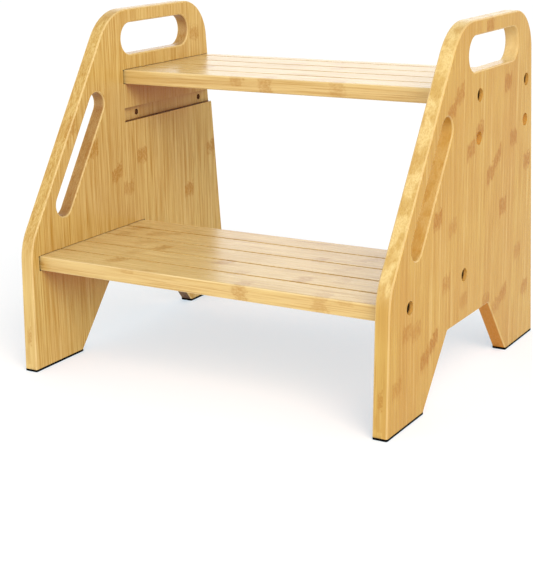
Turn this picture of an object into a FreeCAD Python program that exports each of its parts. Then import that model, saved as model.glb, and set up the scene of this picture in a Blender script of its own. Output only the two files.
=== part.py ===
"""Two-step bamboo stool: two side panels, two step boards, foot pads, bolts and barrel nuts.

Frame: +X to the right, +Y to the rear, +Z up. The origin is on the floor, under the middle of the stool.
Panels and boards are drawn from the stool's front: their local Y starts at the toe of the front foot.
"""
import FreeCAD, Part
import math
import os

from Sketcher import Constraint

SIZES = {
    # whole stool
    "overall_width": 412.0,
    "overall_height": 353.0,
    "floor_depth": 366.0,
    # side panel outline, before its corners are rounded
    "panel_thickness": 15.0,
    "foot_length": 78.5,
    "knee_forward": 4.8,
    "knee_height": 132.4,
    "crown_front": 152.0,
    "crown_rear": 333.5,
    "arch_front": 131.5,
    "arch_rear": 236.0,
    "arch_height": 66.2,
    "knee_radius": 60.0,
    "crown_radius": 56.0,
    "rear_radius": 45.0,
    "arch_radius": 4.0,
    "edge_radius": 1.8,
    # hand hole
    "handle_centre": 235.0,
    "handle_level": 321.5,
    "handle_length": 128.0,
    "handle_opening": 33.5,
    # slanted slot, measured along the sloping edge from the knee
    "slot_start": 58.0,
    "slot_end": 170.6,
    "slot_inset": 28.4,
    "slot_width": 26.0,
    # step boards and the grooves that house their ends
    "step_thickness": 15.0,
    "step_edge_radius": 1.5,
    "housing_depth": 5.0,
    "housing_play": 0.2,
    "housing_front_gap": 2.2,
    "upper_front": 173.7,
    "upper_depth": 165.0,
    "upper_top": 289.0,
    "lower_front": 16.8,
    "lower_depth": 180.8,
    "lower_top": 119.5,
    "second_drop": 41.3,
    # anti-slip grooves along each board
    "groove_first": 34.1,
    "groove_pitch": 38.0,
    "groove_count": 4,
    "groove_width": 3.0,
    "groove_depth": 2.0,
    # bolts, barrel nuts and their holes
    "upper_bolt_inset": 25.6,
    "lower_bolt_inset": 28.6,
    "bolt_spacing": 124.2,
    "bolt_diameter": 6.0,
    "bolt_length": 35.0,
    "head_diameter": 12.0,
    "head_height": 2.2,
    "socket_width": 4.0,
    "socket_depth": 3.4,
    "bolt_hole": 6.5,
    "counterbore": 13.0,
    "counterbore_depth": 5.8,
    "end_hole_depth": 33.0,
    "nut_diameter": 10.0,
    "nut_length": 11.0,
    "nut_hole": 10.1,
    "nut_hole_depth": 11.5,
    "nut_inset": 22.0,
    "nut_bore": 6.1,
    "nut_slot_width": 1.2,
    "nut_slot_depth": 1.2,
    # rubber foot pads
    "pad_thickness": 2.5,
    "pad_edge_radius": 0.6,
}

LEFT, RIGHT = -1, 1
SIDE_NAMES = {LEFT: "left", RIGHT: "right"}
NEAR = 0.01


# ---------------------------------------------------------------- sheet, sketches and features

def make_sheet(doc):
    """Puts every driving dimension into a spreadsheet, one named cell each."""
    sheet = doc.addObject("Spreadsheet::Sheet", "Sizes")
    for row, (name, value) in enumerate(SIZES.items(), start=1):
        sheet.set(f"A{row}", name)
        sheet.set(f"B{row}", str(value))
        sheet.setAlias(f"B{row}", name)
    doc.recompute()
    return sheet


def cells(formula):
    """Turns plain words such as 'arch_rear / 2' into an expression that reads the sheet."""
    return " ".join(f"Sizes.{word}" if word in SIZES else word for word in formula.split())


def number(sheet, formula):
    """The value of such a formula now."""
    return float(sheet.evalExpression(cells(formula)))


def bind(thing, path, formula):
    """Ties one property or sketch constraint to the sheet."""
    thing.setExpression(path, cells(formula))


def new_body(doc, label):
    body = doc.addObject("PartDesign::Body", label)
    body.Label = label
    return body


def place(body, across, along, up, turn=None):
    """Sets a body's turn and ties its position to the sheet."""
    body.Placement = FreeCAD.Placement(FreeCAD.Vector(), turn or FreeCAD.Rotation())
    bind(body, "Placement.Base.x", across)
    bind(body, "Placement.Base.y", along)
    bind(body, "Placement.Base.z", up)


def origin_feature(body, role):
    return next(item for item in body.Origin.OriginFeatures if item.Role == role)


def new_sketch(body, name, role, offset="0"):
    """A sketch on one of the body's own origin planes, moved along that plane's normal."""
    sketch = body.newObject("Sketcher::SketchObject", name)
    sketch.AttachmentSupport = (origin_feature(body, role), [""])
    sketch.MapMode = "FlatFace"
    bind(sketch, "AttachmentOffset.Base.z", offset)
    return sketch


def pin_point(sketch, geometry, point, across, up):
    """Fixes a sketch point by its distances from the sketch's origin."""
    for kind, formula in (("DistanceX", across), ("DistanceY", up)):
        value = number(sketch.Document.Sizes, formula)
        if abs(value) < NEAR:
            axis = -2 if kind == "DistanceX" else -1
            sketch.addConstraint(Constraint("PointOnObject", geometry, point, axis))
            continue
        index = sketch.addConstraint(Constraint(kind, -1, 1, geometry, point, value))
        bind(sketch, f"Constraints[{index}]", formula)


def draw_polygon(sketch, corners):
    """A closed outline through corners, each a pair of formulas."""
    sheet = sketch.Document.Sizes
    points = [FreeCAD.Vector(number(sheet, a), number(sheet, b), 0) for a, b in corners]
    count = len(points)
    for index in range(count):
        sketch.addGeometry(Part.LineSegment(points[index], points[(index + 1) % count]))
    for index in range(count):
        sketch.addConstraint(Constraint("Coincident", index, 2, (index + 1) % count, 1))
    for index, (across, up) in enumerate(corners):
        pin_point(sketch, index, 1, across, up)


def draw_circle(sketch, across, up, diameter):
    sheet = sketch.Document.Sizes
    centre = FreeCAD.Vector(number(sheet, across), number(sheet, up), 0)
    radius = number(sheet, diameter) / 2
    circle = sketch.addGeometry(Part.Circle(centre, FreeCAD.Vector(0, 0, 1), radius))
    pin_point(sketch, circle, 3, across, up)
    index = sketch.addConstraint(Constraint("Diameter", circle, 2 * radius))
    bind(sketch, f"Constraints[{index}]", diameter)


def draw_stadium(sketch, start, end, width):
    """A slot outline with round ends, from the centre of one end to the centre of the other."""
    sheet = sketch.Document.Sizes
    first = FreeCAD.Vector(number(sheet, start[0]), number(sheet, start[1]), 0)
    last = FreeCAD.Vector(number(sheet, end[0]), number(sheet, end[1]), 0)
    radius = number(sheet, width) / 2
    run = (last - first).normalize()
    side = FreeCAD.Vector(-run.y, run.x, 0) * radius
    tail = Part.Arc(first + side, first - run * radius, first - side)
    nose = Part.Arc(last - side, last + run * radius, last + side)
    sketch.addGeometry([tail, Part.LineSegment(first - side, last - side),
                        nose, Part.LineSegment(last + side, first + side)])
    for index in range(4):
        follower = (index + 1) % 4
        ends = [joining_point(sketch, index, follower), joining_point(sketch, follower, index)]
        sketch.addConstraint(Constraint("Tangent", index, ends[0], follower, ends[1]))
    sketch.addConstraint(Constraint("Equal", 0, 2))
    pin_point(sketch, 0, 3, *start)
    pin_point(sketch, 2, 3, *end)
    index = sketch.addConstraint(Constraint("Radius", 0, radius))
    bind(sketch, f"Constraints[{index}]", f"{width} / 2")


def joining_point(sketch, index, other):
    """Which end of one curve, 1 or 2, meets the other curve."""
    here = [sketch.getPoint(index, end) for end in (1, 2)]
    there = [sketch.getPoint(other, end) for end in (1, 2)]
    gaps = [min(point.distanceToPoint(spot) for spot in there) for point in here]
    return 1 + gaps.index(min(gaps))


def pad(body, sketch, length):
    """Thickens a sketch evenly to both sides of its plane."""
    feature = body.newObject("PartDesign::Pad", sketch.Name + "_pad")
    feature.Profile = sketch
    feature.Midplane = True
    bind(feature, "Length", length)
    sketch.Document.recompute()
    return feature


def pocket(body, sketch, depth=None, towards_normal=False):
    """Cuts a sketch to a depth, or both ways right through where no depth is given."""
    before = body.Shape.Volume
    feature = body.newObject("PartDesign::Pocket", sketch.Name + "_cut")
    feature.Profile = sketch
    if depth is None:
        feature.Type = "ThroughAll"
        feature.Midplane = True
    else:
        bind(feature, "Length", depth)
        feature.Reversed = towards_normal
    sketch.Document.recompute()
    if body.Shape.Volume >= before:
        raise ValueError(f"{feature.Name} removes nothing")
    return feature


def round_edges(body, name, chosen, radius):
    """Rounds the edges of the body's tip that pass a test."""
    base = body.Tip
    edges = [f"Edge{i}" for i, edge in enumerate(base.Shape.Edges, start=1) if chosen(edge)]
    feature = body.newObject("PartDesign::Fillet", name)
    feature.Base = (base, edges)
    bind(feature, "Radius", radius)
    body.Document.recompute()
    return feature


def mid_point(edge):
    """A point halfway along an edge."""
    return edge.valueAt((edge.FirstParameter + edge.LastParameter) / 2)


# ---------------------------------------------------------------- side panels

def draw_panel_outline(sketch):
    """Toe, knee, crown, heel and the leg arch, anticlockwise from the toe."""
    draw_polygon(sketch, [
        ("0", "pad_thickness"),
        ("foot_length", "pad_thickness"),
        ("arch_front", "arch_height"),
        ("arch_rear", "arch_height"),
        ("floor_depth - foot_length", "pad_thickness"),
        ("floor_depth", "pad_thickness"),
        ("crown_rear", "overall_height"),
        ("crown_front", "overall_height"),
        ("knee_forward", "knee_height"),
    ])


def corner_test(sheet, *corners):
    """A test for the edges that run across the panel at any of the given outline corners."""
    spots = [(number(sheet, along), number(sheet, up)) for along, up in corners]

    def chosen(edge):
        spot = mid_point(edge)
        across = abs(edge.tangentAt(edge.FirstParameter).x) > 1 - NEAR
        return across and any(math.hypot(spot.y - y, spot.z - z) < NEAR for y, z in spots)
    return chosen


def round_panel_corners(body, sheet):
    front_line = ("knee_forward", "knee_height")
    crown_front = ("crown_front", "overall_height")
    crown_rear = ("crown_rear", "overall_height")
    arch = (("arch_front", "arch_height"), ("arch_rear", "arch_height"))
    round_edges(body, "KneeRounding", corner_test(sheet, front_line), "knee_radius")
    round_edges(body, "CrownRounding", corner_test(sheet, crown_front), "crown_radius")
    round_edges(body, "RearRounding", corner_test(sheet, crown_rear), "rear_radius")
    round_edges(body, "ArchRounding", corner_test(sheet, *arch), "arch_radius")


def cut_hand_hole(body):
    sketch = new_sketch(body, "HandHole", "YZ_Plane")
    reach = "( handle_length - handle_opening ) / 2"
    draw_stadium(sketch, (f"handle_centre - {reach}", "handle_level"),
                 (f"handle_centre + {reach}", "handle_level"), "handle_opening")
    pocket(body, sketch)


def cut_slanted_slot(body):
    """The slot lies along the sloping edge, so its sketch is turned to that slope at the knee."""
    sketch = new_sketch(body, "SlantedSlot", "YZ_Plane")
    rise = "( overall_height - knee_height )"
    run = "( crown_front - knee_forward )"
    sketch.AttachmentOffset = FreeCAD.Placement(FreeCAD.Vector(),
                                                FreeCAD.Rotation(FreeCAD.Vector(0, 0, 1), 45))
    bind(sketch, "AttachmentOffset.Base.x", "knee_forward")
    bind(sketch, "AttachmentOffset.Base.y", "knee_height")
    bind(sketch, "AttachmentOffset.Rotation.Angle", f"atan( {rise} / {run} )")
    draw_stadium(sketch, ("slot_start", "- slot_inset"), ("slot_end", "- slot_inset"), "slot_width")
    pocket(body, sketch)


def face_edge_test(sheet):
    """A test for the edges of both broad faces, leaving out those under the feet."""
    half = number(sheet, "panel_thickness / 2")
    sole = number(sheet, "pad_thickness")

    def chosen(edge):
        spot = mid_point(edge)
        return abs(abs(spot.x) - half) < NEAR and spot.z > sole + NEAR and is_in_face(edge, half)
    return chosen


def is_in_face(edge, half):
    return all(abs(abs(vertex.Point.x) - half) < NEAR for vertex in edge.Vertexes)


def cut_housing(body, name, inner, front, rear, top):
    """A stopped groove in the panel's inner face, which houses one end of a board."""
    sketch = new_sketch(body, name, "YZ_Plane", f"{inner} * panel_thickness / 2")
    start = f"{front} - housing_front_gap"
    floor = f"{top} - step_thickness"
    ceiling = f"{top} + housing_play"
    draw_polygon(sketch, [(start, floor), (rear, floor), (rear, ceiling), (start, ceiling)])
    pocket(body, sketch, "housing_depth", towards_normal=inner < 0)


def drill_bolt_holes(body, name, inner, first, level):
    """Two holes through the panel, each with a flat-bottomed recess for the bolt head."""
    outer = f"{-inner} * panel_thickness / 2"
    for part, diameter, depth in (("Recess", "counterbore", "counterbore_depth"),
                                  ("Hole", "bolt_hole", None)):
        sketch = new_sketch(body, name + part, "YZ_Plane", outer if depth else "0")
        for along in (first, f"{first} + bolt_spacing"):
            draw_circle(sketch, along, level, diameter)
        pocket(body, sketch, depth, towards_normal=inner > 0)


def make_side_panel(doc, sheet, side):
    """One upright panel. Its inner face, which carries the grooves, looks to the stool's middle."""
    body = new_body(doc, f"{SIDE_NAMES[side]}_side_panel")
    inner = -side
    outline = new_sketch(body, "Outline", "YZ_Plane")
    draw_panel_outline(outline)
    pad(body, outline, "panel_thickness")
    round_panel_corners(body, sheet)
    cut_hand_hole(body)
    cut_slanted_slot(body)
    round_edges(body, "EdgeRounding", face_edge_test(sheet), "edge_radius")
    past_rear = "floor_depth + housing_depth"
    cut_housing(body, "UpperHousing", inner, "upper_front", past_rear, "upper_top")
    cut_housing(body, "SecondHousing", inner, "upper_front", past_rear, "upper_top - second_drop")
    cut_housing(body, "LowerHousing", inner, "lower_front",
                "lower_front + lower_depth + housing_front_gap", "lower_top")
    mid = "step_thickness / 2"
    upper_bolts = "upper_front + upper_bolt_inset"
    drill_bolt_holes(body, "Upper", inner, upper_bolts, f"upper_top - {mid}")
    drill_bolt_holes(body, "Second", inner, upper_bolts, f"upper_top - second_drop - {mid}")
    drill_bolt_holes(body, "Lower", inner, "lower_front + lower_bolt_inset", f"lower_top - {mid}")
    place(body, f"{side} * ( overall_width - panel_thickness ) / 2", "- floor_depth / 2", "0")
    return body


# ---------------------------------------------------------------- step boards

BOARD_LENGTH = "( overall_width - 2 * panel_thickness + 2 * housing_depth )"


def long_edge_test(edge):
    """The four edges that run the whole length of a plain board."""
    return abs(edge.tangentAt(edge.FirstParameter).x) > 1 - NEAR


def cut_grooves(body):
    """One round-bottomed groove, repeated towards the board's rear."""
    sketch = new_sketch(body, "Groove", "YZ_Plane")
    bottom = "step_thickness - groove_depth + groove_width / 2"
    draw_stadium(sketch, ("groove_first", bottom), ("groove_first", "step_thickness + groove_width"),
                 "groove_width")
    first = pocket(body, sketch)
    pattern = body.newObject("PartDesign::LinearPattern", "GrooveRow")
    pattern.Originals = [first]
    pattern.Direction = (origin_feature(body, "Y_Axis"), [""])
    bind(pattern, "Occurrences", "groove_count")
    bind(pattern, "Length", "groove_pitch * ( groove_count - 1 )")
    body.Tip = pattern
    body.Document.recompute()


def drill_end_holes(body, bolt_inset):
    """Bolt holes in the right end and barrel nut holes in the underside, mirrored to the left."""
    ends = (bolt_inset, f"{bolt_inset} + bolt_spacing")
    end_sketch = new_sketch(body, "EndHoles", "YZ_Plane", f"{BOARD_LENGTH} / 2")
    nut_sketch = new_sketch(body, "NutHoles", "XY_Plane")
    for along in ends:
        draw_circle(end_sketch, along, "step_thickness / 2", "bolt_hole")
        draw_circle(nut_sketch, f"{BOARD_LENGTH} / 2 - nut_inset", along, "nut_hole")
    cuts = [pocket(body, end_sketch, "end_hole_depth"),
            pocket(body, nut_sketch, "nut_hole_depth", towards_normal=True)]
    mirror = body.newObject("PartDesign::Mirrored", "OtherEnd")
    mirror.Originals = cuts
    mirror.MirrorPlane = (origin_feature(body, "YZ_Plane"), [""])
    body.Tip = mirror
    body.Document.recompute()


def make_step(doc, level):
    """One board. Its local origin is the middle of its front lower edge."""
    body = new_body(doc, f"{level}_step")
    section = new_sketch(body, "Section", "YZ_Plane")
    depth = f"{level}_depth"
    draw_polygon(section, [("0", "0"), (depth, "0"), (depth, "step_thickness"),
                           ("0", "step_thickness")])
    pad(body, section, BOARD_LENGTH)
    round_edges(body, "LongEdges", long_edge_test, "step_edge_radius")
    cut_grooves(body)
    drill_end_holes(body, f"{level}_bolt_inset")
    place(body, "0", f"{level}_front - floor_depth / 2", f"{level}_top - step_thickness")
    return body


# ---------------------------------------------------------------- fasteners and pads

def make_bolt(doc, label, side, along, up):
    """A hex-socket bolt. Its local Z points out of the head, from the head's underside."""
    body = new_body(doc, label)
    shank = new_sketch(body, "Shank", "XY_Plane", "- bolt_length / 2")
    draw_circle(shank, "0", "0", "bolt_diameter")
    pad(body, shank, "bolt_length")
    head = new_sketch(body, "Head", "XY_Plane", "head_height / 2")
    draw_circle(head, "0", "0", "head_diameter")
    pad(body, head, "head_height")
    head_level = number(doc.Sizes, "head_height")
    round_edges(body, "HeadRim", lambda edge: abs(mid_point(edge).z - head_level) < NEAR
                and abs(edge.BoundBox.ZLength) < NEAR, "head_height / 3")
    socket = new_sketch(body, "Socket", "XY_Plane", "head_height")
    corner = "socket_width / 2 * sqrt( 4 / 3 )"
    draw_polygon(socket, [(f"{corner} * cos( {turn} )", f"{corner} * sin( {turn} )")
                          for turn in range(0, 360, 60)])
    pocket(body, socket, "socket_depth")
    turn = FreeCAD.Rotation(FreeCAD.Vector(0, 1, 0), side * 90)
    place(body, f"{side} * ( overall_width / 2 - counterbore_depth )", along, up, turn)
    return body


def make_barrel_nut(doc, label, side, along, up):
    """A steel dowel standing in the board's underside, with a cross bore and a driver slot."""
    body = new_body(doc, label)
    barrel = new_sketch(body, "Barrel", "XY_Plane", "nut_length / 2")
    draw_circle(barrel, "0", "0", "nut_diameter")
    pad(body, barrel, "nut_length")
    bore = new_sketch(body, "Bore", "YZ_Plane")
    draw_circle(bore, "0", "step_thickness / 2 - nut_hole_depth + nut_length", "nut_bore")
    pocket(body, bore)
    slot = new_sketch(body, "DriverSlot", "XZ_Plane")
    half = "nut_slot_width / 2"
    draw_polygon(slot, [(f"- {half}", "- nut_slot_depth"), (half, "- nut_slot_depth"),
                        (half, "nut_slot_depth"), (f"- {half}", "nut_slot_depth")])
    pocket(body, slot)
    place(body, f"{side} * ( {BOARD_LENGTH} / 2 - nut_inset )", along, up)
    return body


def make_fasteners(doc):
    """A bolt and a barrel nut at each of the eight joints between boards and panels."""
    made = []
    for level in ("upper", "lower"):
        for side in (LEFT, RIGHT):
            for end, step_back in (("front", "0"), ("rear", "bolt_spacing")):
                joint = f"{level}_{SIDE_NAMES[side]}_{end}"
                along = f"{level}_front + {level}_bolt_inset + {step_back} - floor_depth / 2"
                mid_level = f"{level}_top - step_thickness / 2"
                nut_level = f"{level}_top - step_thickness + nut_hole_depth - nut_length"
                made.append(make_bolt(doc, f"{joint}_bolt", side, along, mid_level))
                made.append(make_barrel_nut(doc, f"{joint}_barrel_nut", side, along, nut_level))
    return made


def is_upright(edge):
    return isinstance(edge.Curve, Part.Line) and abs(edge.tangentAt(0).z) > 1 - NEAR


def make_foot_pad(doc, side, end):
    """A rubber pad, cut to the size of the foot above it."""
    body = new_body(doc, f"{end}_{SIDE_NAMES[side]}_foot_pad")
    sole = new_sketch(body, "Sole", "XY_Plane", "pad_thickness / 2")
    wide = "panel_thickness / 2"
    draw_polygon(sole, [(f"- {wide}", "0"), (wide, "0"), (wide, "foot_length"),
                        (f"- {wide}", "foot_length")])
    pad(body, sole, "pad_thickness")
    round_edges(body, "Corners", is_upright, "edge_radius")
    round_edges(body, "LowerEdges", lambda edge: abs(edge.BoundBox.ZMax) < NEAR, "pad_edge_radius")
    start = "0" if end == "front" else "floor_depth - foot_length"
    place(body, f"{side} * ( overall_width - panel_thickness ) / 2",
          f"{start} - floor_depth / 2", "0")
    return body


# ---------------------------------------------------------------- checks and files

def check_document(doc):
    """Stops if any object of the document failed to build."""
    doc.recompute()
    for item in doc.Objects:
        if "Invalid" in item.State or "Error" in item.State:
            raise ValueError(f"{item.Name} failed: {item.State}")


def export_bodies(bodies):
    """Checks that each sub-part is one valid solid, then writes it to its own file."""
    for body in bodies:
        if body.Shape.isNull() or not body.Shape.isValid() or len(body.Shape.Solids) != 1:
            raise ValueError(f"{body.Label} is not one valid solid")
    os.makedirs("parts", exist_ok=True)
    for body in bodies:
        body.Shape.exportStep(f"parts/{body.Label}.step")
        box = body.Shape.BoundBox
        print(f"{body.Label}: {body.Shape.Volume / 1000:.2f} cm3, "
              f"x {box.XMin:.2f} to {box.XMax:.2f}, y {box.YMin:.2f} to {box.YMax:.2f}, "
              f"z {box.ZMin:.2f} to {box.ZMax:.2f}")


def main():
    doc = FreeCAD.newDocument("StepStool")
    sheet = make_sheet(doc)
    bodies = [make_side_panel(doc, sheet, side) for side in (LEFT, RIGHT)]
    bodies += [make_step(doc, level) for level in ("upper", "lower")]
    bodies += make_fasteners(doc)
    bodies += [make_foot_pad(doc, side, end) for side in (LEFT, RIGHT) for end in ("front", "rear")]
    check_document(doc)
    export_bodies(bodies)


main()
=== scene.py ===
"""Two-step bamboo stool: materials, floor, light and camera round the fixed CAD frame.

Lengths that describe the wood are in millimetres, because the shader coordinates
are turned into millimetres first. Everything else is in metres.
"""
import math
from collections import namedtuple

import bpy
from mathutils import Matrix, Vector


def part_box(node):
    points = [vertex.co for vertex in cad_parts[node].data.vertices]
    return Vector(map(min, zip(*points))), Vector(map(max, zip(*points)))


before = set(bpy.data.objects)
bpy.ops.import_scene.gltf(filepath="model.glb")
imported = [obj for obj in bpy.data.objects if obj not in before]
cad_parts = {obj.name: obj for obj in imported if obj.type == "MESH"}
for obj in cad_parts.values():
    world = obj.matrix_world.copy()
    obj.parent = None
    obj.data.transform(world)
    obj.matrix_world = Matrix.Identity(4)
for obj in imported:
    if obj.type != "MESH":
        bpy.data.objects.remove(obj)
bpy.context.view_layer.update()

MM = 1000.0              # millimetres in a metre

# ---------------------------------------------------------------- bamboo sizes, mm
STRIP_WIDTH = 19.5       # one bamboo strip across the face of a board
PLY = 5.0                # thickness of one layer of strips
PLY_SHIFT = 7.3          # how far each layer's joints are offset from the next
STRIP_SPREAD = 900.0     # how far apart along the grain two strips can start
KNUCKLE_SPACING = 240.0  # distance between the natural knuckles along a strip
KNUCKLE_TAIL = 15.0      # how far a knuckle's stain fades away below its ridge
KNUCKLE_HEAD = 6.0       # and above it
KNUCKLE_WANDER = 22.0    # how far the ragged edges of a stain stray along the grain
RECESS_BOTTOM = 200.0    # bolt recesses lie further than this from the stool's middle

# Heights on the panels, in mm, between which one part of a panel gives way to the next
ARCH_TOP = (105, 115)    # the arch between the feet is below
SLOT_FOOT = (120, 140)   # the slanted slot is above
GRIP_FOOT = (288, 298)   # the hand hole is above

# How far away, in metres, another surface still shelters this one, which sets where shade and light are
# painted
BOARD_REACH = 0.12       # a step board above
HOLE_REACH = 0.060       # the far side of the slot or the hand hole
BOLT_REACH = 0.012       # the far side of a bolt hole
BOARD_JOINT = 0.004      # on a step: the far side of a groove, or a panel beside the board
PANEL_JOINT = 0.0025     # on a panel: the board let into it, or the far side of a corner

# Knuckles that stand out on the faces seen most: middle across and along the grain in mm,
# how dark, and how steeply the mark slants. Across is y. Along is z on a panel, x on a step.
RIGHT_KNUCKLES = (
    (38, 347, 0.7, 0.1), (90, 288, 1.0, 0.1), (-50, 278, 0.8, 0.5), (-31, 292, 0.7, 0.3),
    (18, 250, 0.9, 0.2), (-3, 236, 0.8, 0.3), (109, 230, 1.0, 0.0), (66, 216, 0.8, 0.7),
    (49, 204, 1.0, 0.3), (150, 200, 0.9, 0.0), (84, 164, 0.9, 0.1), (-79, 183, 0.9, 0.2),
    (-44, 168, 0.5, 0.2), (130, 106, 0.6, 0.1), (-57, 117, 0.6, 0.2), (92, 70, 0.8, 0.3),
    (72, 61, 0.6, 0.3), (155, 61, 0.7, 0.2), (45, 72, 0.7, 0.0), (-14, 90, 0.5, 0.1),
    (-143, 94, 0.6, 0.1), (-123, 90, 0.5, 0.2), (-84, 69, 0.9, 0.6), (-104, 57, 0.8, 0.3),
    (-163, 48, 0.5, 0.2),
)
LEFT_KNUCKLES = (
    (17, 196, 0.50, 0.1), (-30, 184, 0.55, 0.4), (-10, 164, 0.40, 0.0), (108, 140, 0.55, 0.0),
    (-71, 216, 0.55, 0.2), (157, 182, 0.50, 0.1), (-107, 244, 0.45, 0.3), (128, 320, 0.45, 0.0),
)
LOWER_KNUCKLES = (
    (-160, 49, 0.40, 0.0), (-160, 134, 0.30, 0.0), (-81, -96, 0.50, 0.3), (-21, -168, 0.40, 0.2),
    (-101, -8, 0.50, 0.2), (-141, -109, 0.45, 0.3), (-121, 92, 0.45, 0.2), (-35, -137, 0.40, 0.1),
)
UPPER_KNUCKLES = (
    (-3, -12, 0.4, 0.0), (-3, 70, 0.3, 0.0), (50, -120, 0.5, 0.2), (90, 20, 0.4, 0.1),
)

# ---------------------------------------------------------------- bamboo colours
STRAW = (0.528, 0.332, 0.068, 1)
AMBER = (0.465, 0.249, 0.042, 1)
FIBRE = (0.390, 0.190, 0.018, 1)
KNUCKLE = (0.350, 0.140, 0.001, 1)
CREAM = (0.700, 0.520, 0.220, 1)
BOARD_CREAM = (0.738, 0.553, 0.245, 1)
# Painted highlight on rounded edges, and painted light on the right hand hole's walls
PALE_EDGE = (0.800, 0.630, 0.330, 1)
PORE = (0.360, 0.170, 0.040, 1)
SHADED = (0.370, 0.095, 0.022, 1)
WARM_SHADE = (0.460, 0.165, 0.005, 1)
DEEP_SHADE = (0.110, 0.042, 0.013, 1)
# Painted shade on the left panel's slot and hand hole walls
HOLE_WALL_SHADE = (0.230, 0.085, 0.026, 1)
# Lighter orange painted light on the walls of the bolt recesses
RECESS_PAINTED_LIGHT = (0.680, 0.350, 0.080, 1)
# Near-black painted shade for joints, corners, grooves and bolt bores
CREVICE_SHADE = (0.080, 0.026, 0.006, 1)

# The top of a step leans further to cream than this, which is painted light from above.
BOARD_SIDE_FAIR = 0.60   # how far every face of a step but its top leans to cream

# How a panel's hollows are toned, all of it painted light and shade: how far the walls of the slot
# and of the hand hole (the grip) deepen towards the painted shade tone wall, how far the grip's walls
# lean to a painted pale light instead, and the painted shade tone of the overhanging walls of the arch.
Hollows = namedtuple("Hollows", "slot_shade grip_shade grip_pale wall arch")
RIGHT_HOLLOWS = Hollows(slot_shade=0.42, grip_shade=0.0, grip_pale=0.60,
                        wall=WARM_SHADE, arch=WARM_SHADE)
LEFT_HOLLOWS = Hollows(slot_shade=0.85, grip_shade=0.75, grip_pale=0.0,
                       wall=HOLE_WALL_SHADE, arch=DEEP_SHADE)


# ---------------------------------------------------------------- shader helpers
class Shader:
    """One material and short ways to add nodes to it. Every method gives an output socket."""

    def __init__(self, name):
        self.material = bpy.data.materials.new(name)
        self.material.use_nodes = True
        self.tree = self.material.node_tree
        self.surface = self.tree.nodes["Principled BSDF"]

    def feed(self, socket, value):
        """Joins a socket to another, or sets it to a plain value."""
        if isinstance(value, bpy.types.NodeSocket):
            self.tree.links.new(value, socket)
        elif value is not None:
            socket.default_value = value

    def surface_value(self, name, value):
        self.feed(self.surface.inputs[name], value)

    def calc(self, operation, first, second=None):
        node = self.tree.nodes.new("ShaderNodeMath")
        node.operation = operation
        self.feed(node.inputs[0], first)
        self.feed(node.inputs[1], second)
        return node.outputs[0]

    def plus(self, first, second):
        return self.calc("ADD", first, second)

    def minus(self, first, second):
        return self.calc("SUBTRACT", first, second)

    def times(self, first, second):
        return self.calc("MULTIPLY", first, second)

    def over(self, first, second):
        return self.calc("DIVIDE", first, second)

    def larger(self, first, second):
        return self.calc("MAXIMUM", first, second)

    def unsigned(self, value):
        return self.calc("ABSOLUTE", value)

    def ramp(self, value, low, high, to_low=0.0, to_high=1.0):
        """A smooth step from to_low to to_high as value goes from low to high."""
        node = self.tree.nodes.new("ShaderNodeMapRange")
        node.interpolation_type = "SMOOTHSTEP"
        for name, entry in (("Value", value), ("From Min", low), ("From Max", high),
                            ("To Min", to_low), ("To Max", to_high)):
            self.feed(node.inputs[name], entry)
        return node.outputs["Result"]

    def vector(self, x, y, z):
        node = self.tree.nodes.new("ShaderNodeCombineXYZ")
        for socket, value in zip(node.inputs, (x, y, z)):
            self.feed(socket, value)
        return node.outputs[0]

    def split(self, vector):
        node = self.tree.nodes.new("ShaderNodeSeparateXYZ")
        self.feed(node.inputs[0], vector)
        return node.outputs

    def scaled(self, vector, factor):
        node = self.tree.nodes.new("ShaderNodeVectorMath")
        node.operation = "SCALE"
        self.feed(node.inputs[0], vector)
        node.inputs["Scale"].default_value = factor
        return node.outputs[0]

    def direction(self, x, y, z):
        """A vector of length one that points along x, y, z."""
        node = self.tree.nodes.new("ShaderNodeVectorMath")
        node.operation = "NORMALIZE"
        self.feed(node.inputs[0], self.vector(x, y, z))
        return node.outputs[0]

    def coordinates(self, kind="Object"):
        return self.tree.nodes.new("ShaderNodeTexCoord").outputs[kind]

    def noise(self, vector, scale, detail, roughness):
        node = self.tree.nodes.new("ShaderNodeTexNoise")
        self.feed(node.inputs["Vector"], vector)
        node.inputs["Scale"].default_value = scale
        node.inputs["Detail"].default_value = detail
        node.inputs["Roughness"].default_value = roughness
        return node.outputs["Fac"]

    def chance(self, vector):
        """Random values that stay the same for equal vectors: (value, colour)."""
        node = self.tree.nodes.new("ShaderNodeTexWhiteNoise")
        self.feed(node.inputs["Vector"], vector)
        return node.outputs["Value"], node.outputs["Color"]

    def strands(self, vector, scale):
        """How far this point is from the nearest of many scattered strands, 0 on one."""
        node = self.tree.nodes.new("ShaderNodeTexVoronoi")
        self.feed(node.inputs["Vector"], vector)
        node.inputs["Scale"].default_value = scale
        return node.outputs["Distance"]

    def openness(self, reach, facing=None):
        """1 on an open surface, falling to 0 where other surfaces crowd it within reach."""
        node = self.tree.nodes.new("ShaderNodeAmbientOcclusion")
        node.samples = 12
        node.inputs["Distance"].default_value = reach
        self.feed(node.inputs["Normal"], facing)
        return node.outputs["AO"]

    def blend(self, factor, first, second):
        node = self.tree.nodes.new("ShaderNodeMix")
        node.data_type = "RGBA"
        self.feed(node.inputs["Factor"], factor)
        self.feed(node.inputs[6], first)
        self.feed(node.inputs[7], second)
        return node.outputs[2]

    def bump(self, height, strength, distance):
        node = self.tree.nodes.new("ShaderNodeBump")
        node.inputs["Strength"].default_value = strength
        node.inputs["Distance"].default_value = distance
        self.feed(node.inputs["Height"], height)
        return node.outputs["Normal"]


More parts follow.
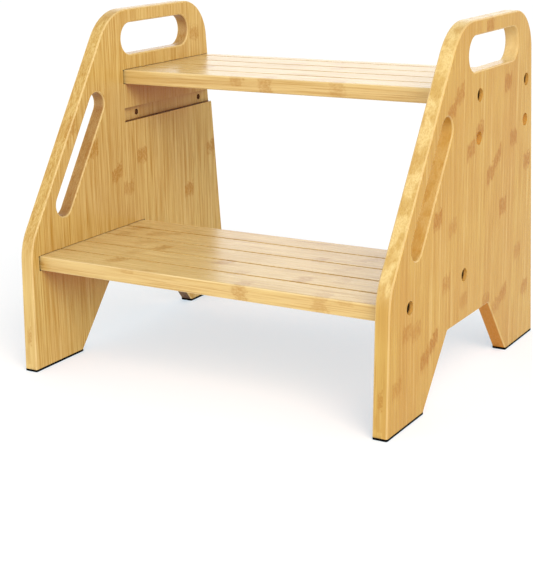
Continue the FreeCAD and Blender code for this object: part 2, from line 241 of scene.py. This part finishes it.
# ---------------------------------------------------------------- bamboo
class Board(Shader):
    """The shader of one bamboo board. It knows where on the board the shaded point is.

    The grain runs up in the side panels and left to right in the steps. The strips lie
    side by side along y, in layers one behind another through the board's thickness.
    """

    def __init__(self, node, grain_up):
        super().__init__("bamboo_" + node)
        self.grain_up = grain_up
        self.low, self.high = (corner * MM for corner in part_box(node))
        self.x, self.y, self.z = self.split(self.scaled(self.coordinates("Object"), MM))
        self.nx, self.ny, self.nz = self.split(self.coordinates("Normal"))
        self.find_faces()
        self.find_strip()

    def find_faces(self):
        """How squarely this point faces left or right, and how far its face cuts the grain.

        On a panel also how far that face is a narrow one, and how far it is outside the holes.
        """
        self.flat = self.unsigned(self.nx)
        if self.grain_up:
            self.narrow = self.ramp(self.flat, 0.45, 0.10)
            self.cut = self.times(self.narrow, self.ramp(self.unsigned(self.nz), 0.08, 0.45))
            self.outside = self.ramp(self.openness(HOLE_REACH), 0.60, 0.92, 0.1, 1.0)
        else:
            self.cut = self.flat

    def find_strip(self):
        """Which strip of which layer this point belongs to, and that strip's own luck."""
        if self.grain_up:
            self.along = self.z
            self.deep = self.minus(self.x, self.low.x)
        else:
            self.along = self.x
            self.deep = self.minus(self.z, self.low.z)
        layer = self.calc("FLOOR", self.over(self.deep, PLY))
        self.strips = self.over(self.plus(self.y, self.times(layer, PLY_SHIFT)), STRIP_WIDTH)
        strip = self.calc("FLOOR", self.strips)
        self.luck, lucky_colour = self.chance(self.vector(strip, layer, 3.0))
        self.tone_luck, self.slant_luck, self.mark_luck = self.split(lucky_colour)
        self.run = self.plus(self.along, self.times(self.luck, STRIP_SPREAD))

    def stretched_noise(self, across, along, squeeze, scale, detail, roughness):
        """Noise drawn out along the grain: the smaller squeeze is, the longer it gets."""
        place = self.vector(across, self.times(along, squeeze), self.deep)
        return self.noise(place, scale, detail, roughness)


def knuckle_fade(board, above, strength):
    """Full strength just below the ridge, gone a little above it and further below it."""
    upper = board.ramp(above, KNUCKLE_HEAD, KNUCKLE_HEAD * 0.3)
    lower = board.ramp(above, -KNUCKLE_TAIL, -KNUCKLE_TAIL * 0.45, 0.0, strength)
    return board.times(upper, lower)


def placed_knuckles(board, along, knuckles):
    """The strongest of the listed knuckle marks at this point, 0 where there is none."""
    strongest = 0.0
    for middle, level, strength, slant in knuckles:
        sideways = board.minus(board.y, middle)
        upwards = board.minus(board.minus(along, level), board.times(sideways, slant))
        inside = board.ramp(board.unsigned(sideways), STRIP_WIDTH * 0.52, STRIP_WIDTH * 0.46)
        mark = board.times(inside, knuckle_fade(board, upwards, strength))
        strongest = board.larger(strongest, mark)
    return strongest


def scattered_knuckles(board, along):
    """One mark per strip in every KNUCKLE_SPACING, at its own height and slant."""
    sideways = board.times(board.minus(board.calc("FRACT", board.strips), 0.5), STRIP_WIDTH)
    slant = board.times(board.minus(board.slant_luck, 0.35), 1.5)
    level = board.minus(along, board.times(sideways, slant))
    turns = board.plus(board.over(level, KNUCKLE_SPACING), board.times(board.luck, 7.0))
    from_middle = board.minus(board.calc("FRACT", turns), 0.5)
    return knuckle_fade(board, board.times(from_middle, KNUCKLE_SPACING), board.mark_luck)


def knuckle_marks(board, knuckles):
    """How strong a knuckle's stain is here, and how far its ragged edge has strayed.

    A panel's listed knuckles belong to the layer on its right.
    """
    ragged = board.stretched_noise(board.y, board.along, 1.0, 0.20, 3.0, 0.6)
    wander = board.times(board.minus(ragged, 0.5), KNUCKLE_WANDER)
    ragged_along = board.plus(board.along, wander)
    elsewhere = scattered_knuckles(board, ragged_along)
    listed = placed_knuckles(board, ragged_along, knuckles)
    if board.grain_up:
        on_right = board.calc("GREATER_THAN", board.x, board.high.x - PLY)
        mark = board.plus(board.times(listed, on_right),
                          board.times(elsewhere, board.minus(1.0, on_right)))
    else:
        mark = board.larger(listed, board.times(elsewhere, 0.4))
    flecks = board.stretched_noise(board.y, board.along, 0.5, 0.70, 3.0, 0.7)
    return board.times(mark, board.ramp(flecks, 0.34, 0.58, 0.32, 1.30)), wander


def wood_fibres(board, knuckle, wander):
    """Fine and coarse fibres: long streaks that bend a little at the knuckles."""
    side = board.plus(board.y, board.times(board.times(knuckle, wander), 0.16))
    if board.grain_up:
        side = board.times(side, board.ramp(board.narrow, 0.0, 1.0, 1.0, 0.4))
    fine = board.stretched_noise(side, board.run, 0.012, 1.00, 3.0, 0.62)
    coarse = board.stretched_noise(side, board.run, 0.016, 0.34, 2.0, 0.55)
    return fine, coarse


def grain_colour(board, fair, knuckle, fine, coarse):
    """Each strip's own tone with its fibres and knuckles, leaning to cream by fair; a step's top leans
    further than its other faces, which is painted light.
    """
    cloud = board.stretched_noise(board.y, board.along, 1.0, 0.014, 2.0, 0.5)
    tone = board.plus(board.times(board.tone_luck, 0.60), board.times(board.ramp(cloud, 0.3, 0.7), 0.45))
    colour = board.blend(tone, STRAW, AMBER)
    if board.grain_up:
        contrast = 1.0
        colour = board.blend(fair, colour, CREAM)
    else:
        contrast = 0.65
        # Painted light: a step's top leans further to cream than its other faces.
        colour = board.blend(board.ramp(board.nz, 0.3, 0.9, BOARD_SIDE_FAIR, fair), colour, BOARD_CREAM)
    colour = board.blend(board.ramp(coarse, 0.46, 0.68, 0.0, 0.48 * contrast), colour, FIBRE)
    colour = board.blend(board.ramp(coarse, 0.46, 0.28, 0.0, 0.35), colour, CREAM)
    colour = board.blend(board.ramp(fine, 0.45, 0.65, 0.0, 0.95 * contrast), colour, FIBRE)
    return board.blend(knuckle, colour, KNUCKLE)


def cut_face_colour(board, colour, pale_cut):
    """Faces cut across the grain are paler, partly as painted light, patchy, a little stained and finely
    dotted.
    """
    patches = board.stretched_noise(board.y, board.along, 0.2, 0.09, 2.0, 0.5)
    slices = board.stretched_noise(board.y, board.along, 0.02, 0.8, 2.0, 0.6)
    paler = board.times(board.ramp(patches, 0.40, 0.58, 0.50, 1.0),
                        board.ramp(slices, 0.35, 0.65, 0.75, 1.20))
    # Painted light: the paleness stays off the walls of the slot and the hand hole, which less light
    # reaches.
    if board.grain_up:
        paler = board.times(paler, board.outside)
    colour = board.blend(board.times(board.times(board.cut, pale_cut), paler), colour, CREAM)
    stains = board.times(board.cut, board.ramp(patches, 0.55, 0.30, 0.0, 0.19))
    colour = board.blend(stains, colour, PORE)
    strand = board.strands(board.vector(board.y, board.times(board.run, 0.10), board.deep), 0.85)
    return board.blend(board.times(board.cut, board.ramp(strand, 0.36, 0.16, 0.0, 0.42)), colour, PORE)


def edge_colour(board, colour, pale):
    """Rounded edges are palest, a painted highlight along them.

    pale is how far a panel's narrow faces along the grain lean to cream, partly their own paler tone and
    partly painted light.
    """
    if board.grain_up:
        lengthwise = board.minus(board.narrow, board.cut)
        colour = board.blend(board.times(lengthwise, pale), colour, CREAM)
        rounded = board.times(board.ramp(board.flat, 0.99, 0.88), board.ramp(board.flat, 0.06, 0.25))
    else:
        flattest = board.larger(board.flat, board.unsigned(board.nz))
        flattest = board.larger(flattest, board.unsigned(board.ny))
        rounded = board.ramp(flattest, 0.995, 0.90)
    # Painted highlight: the rounded edges are blended towards a pale cream.
    return board.blend(board.times(rounded, 0.35), colour, PALE_EDGE)


def hole_colour(board, colour, hollows):
    """Painted shade and painted light on the walls of the slot, of the hand hole and of the bolt holes.
    """
    in_hole = board.times(board.ramp(board.outside, 1.0, 0.1), board.ramp(board.z, *SLOT_FOOT))
    in_hole = board.times(in_hole, board.narrow)
    # Painted shade: the walls of the slot and of the hand hole are blended towards the hollows' wall
    # tone.
    shade = board.ramp(board.z, *GRIP_FOOT, hollows.slot_shade, hollows.grip_shade)
    colour = board.blend(board.times(in_hole, shade), colour, hollows.wall)
    # Painted light: the right hand hole's walls lean to pale.
    pale = board.ramp(board.z, *GRIP_FOOT, 0.0, hollows.grip_pale)
    colour = board.blend(board.times(in_hole, pale), colour, PALE_EDGE)
    # Painted light and shade in crowded bolt holes: the recess walls take a lighter orange, the bore
    # beyond goes near-black.
    bolt_hole = board.times(board.ramp(board.openness(BOLT_REACH), 0.75, 0.45, 0.0, 0.90), board.narrow)
    in_recess = board.calc("GREATER_THAN", board.unsigned(board.x), RECESS_BOTTOM)
    return board.blend(bolt_hole, colour, board.blend(in_recess, CREVICE_SHADE, RECESS_PAINTED_LIGHT))


def panel_painted_light_and_shade(board, colour, hollows):
    """Painted shade and light: darker, redder broad faces under a step, toned hollows and arch walls,
    and near-black joints and corners.
    """
    broad = board.ramp(board.flat, 0.90, 0.99)
    skyward = board.direction(board.nx, board.ny, board.plus(board.nz, 1.0))
    # Painted shade: broad faces that a step board shelters from above are blended towards a darker,
    # redder tone.
    under_step = board.ramp(board.openness(BOARD_REACH, skyward), 0.45, 0.12, 0.0, 0.80)
    colour = board.blend(board.times(under_step, broad), colour, SHADED)
    colour = hole_colour(board, colour, hollows)
    # Painted shade: the overhung walls of the arch, facing down, take the hollows' arch tone.
    in_arch = board.ramp(board.z, *reversed(ARCH_TOP))
    overhung = board.times(board.ramp(board.nz, -0.10, -0.30, 0.0, 0.90), in_arch)
    colour = board.blend(board.times(overhung, board.narrow), colour, hollows.arch)
    # Painted shade: within a few millimetres of a joint or corner the wood is blended towards
    # near-black.
    return board.blend(board.ramp(board.openness(PANEL_JOINT), 0.74, 0.54, 0.0, 0.95), colour, CREVICE_SHADE)


def make_bamboo(node, grain_up, knuckles, fair, pale=0.0, pale_cut=0.5, hollows=None):
    """Lacquered flat-pressed bamboo for one board.

    fair is how far a whole panel, or the top of a step, leans to cream; on the left panel and on a
    step's top this is painted light.
    pale and pale_cut are how far narrow faces along and across the grain do, partly as painted light; a
    step has only the second.
    hollows says how a panel's hollows are toned with painted light and shade.
    """
    board = Board(node, grain_up)
    knuckle, wander = knuckle_marks(board, knuckles)
    fine, coarse = wood_fibres(board, knuckle, wander)
    colour = grain_colour(board, fair, knuckle, fine, coarse)
    colour = cut_face_colour(board, colour, pale_cut)
    colour = edge_colour(board, colour, pale)
    if grain_up:
        colour = panel_painted_light_and_shade(board, colour, hollows)
    else:
        # Painted shade: in the grooves and where the step meets a panel the wood is blended towards
        # near-black.
        joint = board.ramp(board.openness(BOARD_JOINT), 0.34, 0.06, 0.0, 0.95)
        colour = board.blend(joint, colour, CREVICE_SHADE)
    board.surface_value("Base Color", colour)
    board.surface_value("Roughness", board.ramp(fine, 0.3, 0.75, 0.22, 0.36))
    board.surface_value("Specular IOR Level", 0.15 if grain_up else 0.52)
    board.surface_value("Normal", board.bump(fine, -0.14, 0.0003))
    return board.material


# ---------------------------------------------------------------- rubber and steel
def make_rubber():
    """Matt black rubber with a fine grain and a little dust."""
    shader = Shader("rubber_black")
    grain = shader.noise(shader.coordinates(), 1400.0, 3.0, 0.6)
    dust = shader.noise(shader.coordinates(), 60.0, 3.0, 0.6)
    colour = shader.blend(shader.ramp(dust, 0.45, 0.8, 0.0, 0.5),
                          (0.001, 0.001, 0.001, 1), (0.006, 0.006, 0.005, 1))
    shader.surface_value("Base Color", colour)
    shader.surface_value("Specular IOR Level", 0.04)
    shader.surface_value("Roughness", shader.ramp(dust, 0.3, 0.8, 0.62, 0.88))
    shader.surface_value("Normal", shader.bump(grain, 0.35, 0.0003))
    return shader.material


def make_black_steel():
    """Black oxide on steel, slightly worn."""
    shader = Shader("steel_black")
    wear = shader.noise(shader.coordinates(), 420.0, 4.0, 0.65)
    haze = shader.noise(shader.coordinates(), 1900.0, 2.0, 0.5)
    colour = shader.blend(shader.ramp(wear, 0.62, 0.8, 0.0, 0.35),
                          (0.002, 0.002, 0.002, 1), (0.014, 0.013, 0.012, 1))
    shader.surface_value("Base Color", colour)
    shader.surface_value("Specular IOR Level", 0.03)
    shader.surface_value("Roughness", shader.ramp(wear, 0.35, 0.75, 0.46, 0.30))
    shader.surface_value("Normal", shader.bump(haze, 0.2, 0.0001))
    return shader.material


def make_plated_steel():
    """Zinc-plated, turned steel."""
    shader = Shader("steel_plated")
    place = shader.coordinates()
    cloud = shader.noise(place, 260.0, 3.0, 0.6)
    turned = shader.noise(place, 2600.0, 2.0, 0.5)
    colour = shader.blend(shader.ramp(cloud, 0.35, 0.7),
                          (0.58, 0.57, 0.53, 1), (0.70, 0.70, 0.69, 1))
    shader.surface_value("Base Color", colour)
    shader.surface_value("Metallic", 1.0)
    shader.surface_value("Roughness", shader.ramp(cloud, 0.3, 0.7, 0.38, 0.27))
    shader.surface_value("Normal", shader.bump(turned, 0.15, 0.0001))
    return shader.material


def dress(node_names, material):
    """Gives each of these CAD nodes the material on every slot."""
    for name in node_names:
        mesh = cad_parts[name].data
        if len(mesh.materials) == 0:
            mesh.materials.append(material)
        for slot in range(len(mesh.materials)):
            mesh.materials[slot] = material


def named(word):
    """The CAD nodes that have this word in their name."""
    return [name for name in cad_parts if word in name]


# Painted light: the right panel's much paler cut faces (pale_cut) stand for the stronger light on its
# side, and the left panel's lean to cream (fair) lightens its dimmer inner face.
dress(["right_side_panel"],
      make_bamboo("right_side_panel", True, RIGHT_KNUCKLES, 0.0, pale=0.20, pale_cut=0.80,
                  hollows=RIGHT_HOLLOWS))
dress(["left_side_panel"],
      make_bamboo("left_side_panel", True, LEFT_KNUCKLES, 0.45, pale=0.40, pale_cut=0.15,
                  hollows=LEFT_HOLLOWS))
# The step tops' extra lean to cream (fair) is painted light from above.
dress(["lower_step"], make_bamboo("lower_step", False, LOWER_KNUCKLES, 1.0))
dress(["upper_step"], make_bamboo("upper_step", False, UPPER_KNUCKLES, 0.75))
dress(named("foot_pad"), make_rubber())
dress(named("_bolt"), make_black_steel())
dress(named("barrel_nut"), make_plated_steel())


# ---------------------------------------------------------------- floor, light, camera
def make_floor():
    """A plain pale floor. It glows a little, in the tint that its own colour lacks, so
    that light thrown back by the wood leaves the shadows grey."""
    bpy.ops.mesh.primitive_plane_add(size=30.0, location=(0, 0, 0))
    floor = bpy.context.object
    floor.name = "studio_floor"
    shader = Shader("floor_white")
    shade = shader.noise(shader.coordinates(), 3.0, 2.0, 0.5)
    shader.surface_value("Base Color", shader.blend(shade, (0.77, 0.58, 0.44, 1), (0.79, 0.60, 0.46, 1)))
    shader.surface_value("Emission Color", (0.23, 0.425, 0.565, 1))
    shader.surface_value("Emission Strength", 1.0)
    shader.surface_value("Roughness", 0.9)
    shader.surface_value("Specular IOR Level", 0.0)
    floor.data.materials.append(shader.material)


def make_world(horizon, zenith):
    """A white studio that is brighter round the sides than overhead."""
    world = bpy.data.worlds.new("studio_white")
    world.use_nodes = True
    tree = world.node_tree
    background = tree.nodes["Background"]
    background.inputs["Color"].default_value = (1, 1, 1, 1)
    place = tree.nodes.new("ShaderNodeTexCoord")
    split = tree.nodes.new("ShaderNodeSeparateXYZ")
    fade = tree.nodes.new("ShaderNodeMapRange")
    fade.inputs["From Min"].default_value = 0.28
    fade.inputs["From Max"].default_value = 0.70
    fade.inputs["To Min"].default_value = horizon
    fade.inputs["To Max"].default_value = zenith
    tree.links.new(place.outputs["Generated"], split.inputs[0])
    tree.links.new(split.outputs["Z"], fade.inputs["Value"])
    tree.links.new(fade.outputs["Result"], background.inputs["Strength"])
    bpy.context.scene.world = world


def add_lamp(name, light, direction):
    """Puts the light in the scene, shining along direction, and gives its object."""
    lamp = bpy.data.objects.new(name, light)
    lamp.rotation_euler = direction.to_track_quat("-Z", "Y").to_euler()
    bpy.context.scene.collection.objects.link(lamp)
    return lamp


def make_key_light(place, aim, width, power):
    """One square softbox at place, turned to aim."""
    light = bpy.data.lights.new("softbox", "AREA")
    light.size = width
    light.energy = power
    lamp = add_lamp("softbox", light, Vector(aim) - Vector(place))
    lamp.location = place


def make_sun(towards, strength, spread):
    """A very soft light on everything alike, from the direction given."""
    light = bpy.data.lights.new("sun", "SUN")
    light.energy = strength
    light.angle = math.radians(spread)
    add_lamp("sun", light, -Vector(towards))


def make_camera(place, turn, tilt, roll, lens):
    """A camera turned about the upright, tilted up from straight down, then rolled."""
    data = bpy.data.cameras.new("camera")
    data.sensor_width = 36.0
    data.lens = lens
    camera = bpy.data.objects.new("camera", data)
    turned = Matrix.Rotation(math.radians(turn), 4, "Z")
    tilted = Matrix.Rotation(math.radians(tilt), 4, "X")
    rolled = Matrix.Rotation(math.radians(roll), 4, "Z")
    camera.matrix_world = Matrix.Translation(place) @ turned @ tilted @ rolled
    bpy.context.scene.collection.objects.link(camera)
    bpy.context.scene.camera = camera


make_floor()
make_world(horizon=1.75, zenith=0.62)
make_key_light(place=(0.85, -0.75, 1.10), aim=(0.0, 0.0, 0.15), width=0.70, power=5.8)
make_sun(towards=(0.60, -0.45, 0.55), strength=0.65, spread=30.0)
make_camera(place=(0.69593, -1.20960, 0.47180), turn=30.757, tilt=90.0 - 15.992, roll=-1.065, lens=87.02)
bpy.context.scene.view_settings.view_transform = "Standard"
